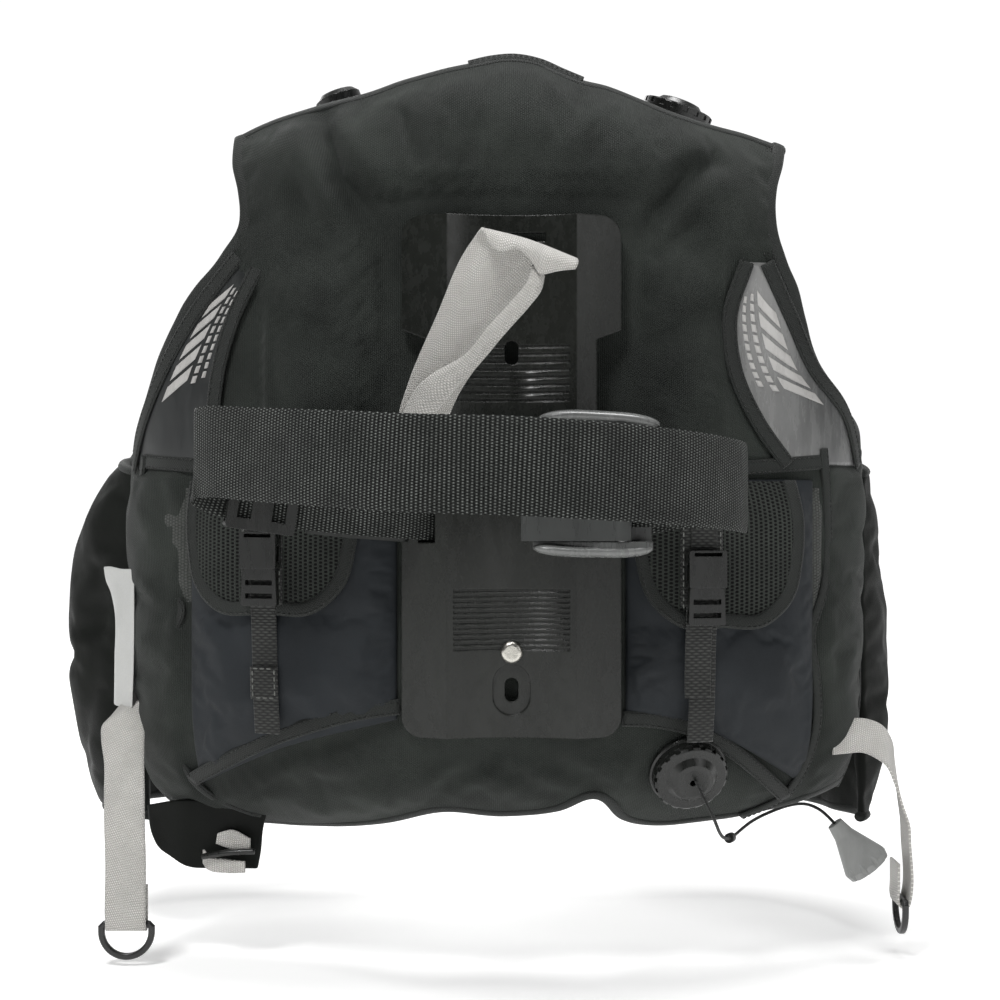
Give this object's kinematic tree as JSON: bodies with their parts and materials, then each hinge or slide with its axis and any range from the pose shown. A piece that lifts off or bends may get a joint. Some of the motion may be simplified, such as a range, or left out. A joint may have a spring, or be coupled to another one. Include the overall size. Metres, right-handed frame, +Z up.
{
  "type": "buoyancy compensator vest",
  "caption": "Jacket style buoyancy vest for diving: hard backplate, tank band with cam buckle, air cell, lobes, straps, pockets and relief valves.",
  "frame": {"origin": "midway between the backplate's two adapter slots, on the face of its channel", "axes": "+Z up as worn, the back (tank side) faces -Y, the wearer's chest is towards +Y, +X to the right seen from behind"},
  "size_m": [0.5621, 0.4686, 0.5543],
  "materials": {
    "plate": "moulded semi-gloss black",
    "bolt": "nickel dome head",
    "black_webbing": "coarse woven black nylon webbing",
    "grey_webbing": "woven light grey webbing",
    "rubber_pad": "black rubber",
    "trim_plastic": "moulded black acetal",
    "lever_plastic": "moulded black with a worn edge",
    "steel": "plain steel",
    "shell_nylon": "coated woven nylon, charcoal",
    "bladder": "coated bladder cloth",
    "lining": "smooth black lining",
    "vinyl": "grey vinyl",
    "pocket_nylon": "smooth navy black nylon",
    "mesh": "black spacer mesh",
    "cord": "2 mm black braided cord",
    "knob_plastic": "silver grey moulded plastic",
    "lobe_nylon": "black nylon",
    "ring_metal": "black coated wire",
    "label": "blank white label cloth"
  },
  "bodies": {
    "vest": {"backplate": "plate", "plate_bolt": "bolt", "tank_band": "black_webbing", "band_pad": "rubber_pad", "band_slider": "trim_plastic", "cam_buckle_frame": "trim_plastic", "cam_buckle_pin": "steel", "valve_strap": "grey_webbing", "back_shell_outer": "shell_nylon", "air_cell_back": "bladder", "back_shell_lining": "lining", "back_pad": "lining", "collar_pad": "lining", "side_patches": "vinyl", "trim_pocket_left": "pocket_nylon", "trim_pocket_right": "pocket_nylon", "pocket_flap_left": "mesh", "pocket_flap_right": "mesh", "rear_strap_left": "black_webbing", "rear_strap_right": "black_webbing", "rear_buckle_female_left": "trim_plastic", "rear_buckle_female_right": "trim_plastic", "dump_valve_body": "trim_plastic", "dump_valve_cap": "trim_plastic", "dump_valve_spring": "steel", "dump_pull_cord": "cord", "cord_guide": "trim_plastic", "shoulder_valve_body": "trim_plastic", "shoulder_valve_cap": "trim_plastic", "shoulder_valve_spring": "steel", "inflator_flange": "trim_plastic", "lobe_left": "lobe_nylon", "lobe_right": "lobe_nylon", "lobe_pocket_left": "pocket_nylon", "lobe_pocket_right": "pocket_nylon", "shoulder_strap_left": "lobe_nylon", "shoulder_strap_right": "lobe_nylon", "shoulder_buckles": "trim_plastic", "sternum_straps": "black_webbing", "sternum_buckle_female": "trim_plastic", "waist_belt_left": "black_webbing", "waist_belt_right": "black_webbing", "waist_buckle_female": "trim_plastic", "hip_strap_left": "grey_webbing", "hip_strap_right": "grey_webbing", "labels": "label"},
    "cam_lever": {"cam_buckle_lever": "lever_plastic"},
    "buckle_tail_left": {"rear_buckle_male_left": "trim_plastic"},
    "buckle_tail_right": {"rear_buckle_male_right": "trim_plastic"},
    "pull_knob": {"dump_pull_knob": "knob_plastic"},
    "dump_disc": {"dump_valve_disc": "rubber_pad"},
    "relief_disc": {"shoulder_valve_disc": "rubber_pad"},
    "hose_elbow": {"inflator_elbow": "trim_plastic"},
    "ring_left": {"hip_dring_left": "ring_metal"},
    "ring_right": {"hip_dring_right": "ring_metal"},
    "zip_left": {"zip_slider_left": "steel"},
    "zip_right": {"zip_slider_right": "steel"},
    "sternum_tail": {"sternum_buckle_male": "trim_plastic"},
    "waist_tail": {"waist_buckle_male": "trim_plastic"}
  },
  "joints": [
    {"name": "cam_lever_turn", "type": "hinge", "parent": "vest", "child": "cam_lever", "pos_m": [0.062, -0.04, 0.022], "axis": [0, 0, 1], "range_deg": [0, 130]},
    {"name": "rear_buckle_slide_left", "type": "slide", "parent": "vest", "child": "buckle_tail_left", "axis": [0, 0, -1], "range_m": [0, 0.02]},
    {"name": "rear_buckle_slide_right", "type": "slide", "parent": "vest", "child": "buckle_tail_right", "axis": [0, 0, -1], "range_m": [0, 0.02]},
    {"name": "dump_knob_pull", "type": "slide", "parent": "vest", "child": "pull_knob", "axis": [0.6157, 0, -0.788], "range_m": [0, 0.004], "stiffness_N_per_m": 300, "springref_m": -0.002, "deforming": ["dump_pull_cord"]},
    {"name": "dump_disc_lift", "type": "slide", "parent": "vest", "child": "dump_disc", "axis": [0.1836, -0.8637, -0.4695], "range_m": [0, 0.004], "stiffness_N_per_m": 300, "springref_m": -0.002, "deforming": ["dump_valve_spring"]},
    {"name": "relief_disc_lift", "type": "slide", "parent": "vest", "child": "relief_disc", "axis": [0.3402, -0.1045, 0.9345], "range_m": [0, 0.004], "stiffness_N_per_m": 300, "springref_m": -0.002, "deforming": ["shoulder_valve_spring"]},
    {"name": "elbow_turn", "type": "hinge", "parent": "vest", "child": "hose_elbow", "pos_m": [-0.10571, 0.088, 0.2567], "axis": [-0.342, 0, 0.9397], "range_deg": [-60, 60]},
    {"name": "hip_ring_swing_left", "type": "hinge", "parent": "vest", "child": "ring_left", "pos_m": [-0.238, 0.06, -0.25], "axis": [1, 0, 0], "range_deg": [-80, 80]},
    {"name": "hip_ring_swing_right", "type": "hinge", "parent": "vest", "child": "ring_right", "pos_m": [0.247, 0.088, -0.24], "axis": [0, 1, 0], "range_deg": [-80, 80]},
    {"name": "zip_slide_left", "type": "slide", "parent": "vest", "child": "zip_left", "axis": [0, 0, -1], "range_m": [0, 0.125]},
    {"name": "zip_slide_right", "type": "slide", "parent": "vest", "child": "zip_right", "axis": [0, 0, -1], "range_m": [0, 0.125]},
    {"name": "sternum_buckle_slide", "type": "slide", "parent": "vest", "child": "sternum_tail", "axis": [1, 0, 0], "range_m": [0, 0.028]},
    {"name": "waist_buckle_slide", "type": "slide", "parent": "vest", "child": "waist_tail", "axis": [1, 0, 0], "range_m": [0, 0.045]}
  ],
  "couplings": [
    {"joint": "dump_disc_lift", "follows": "dump_knob_pull", "ratio": 1}
  ]
}
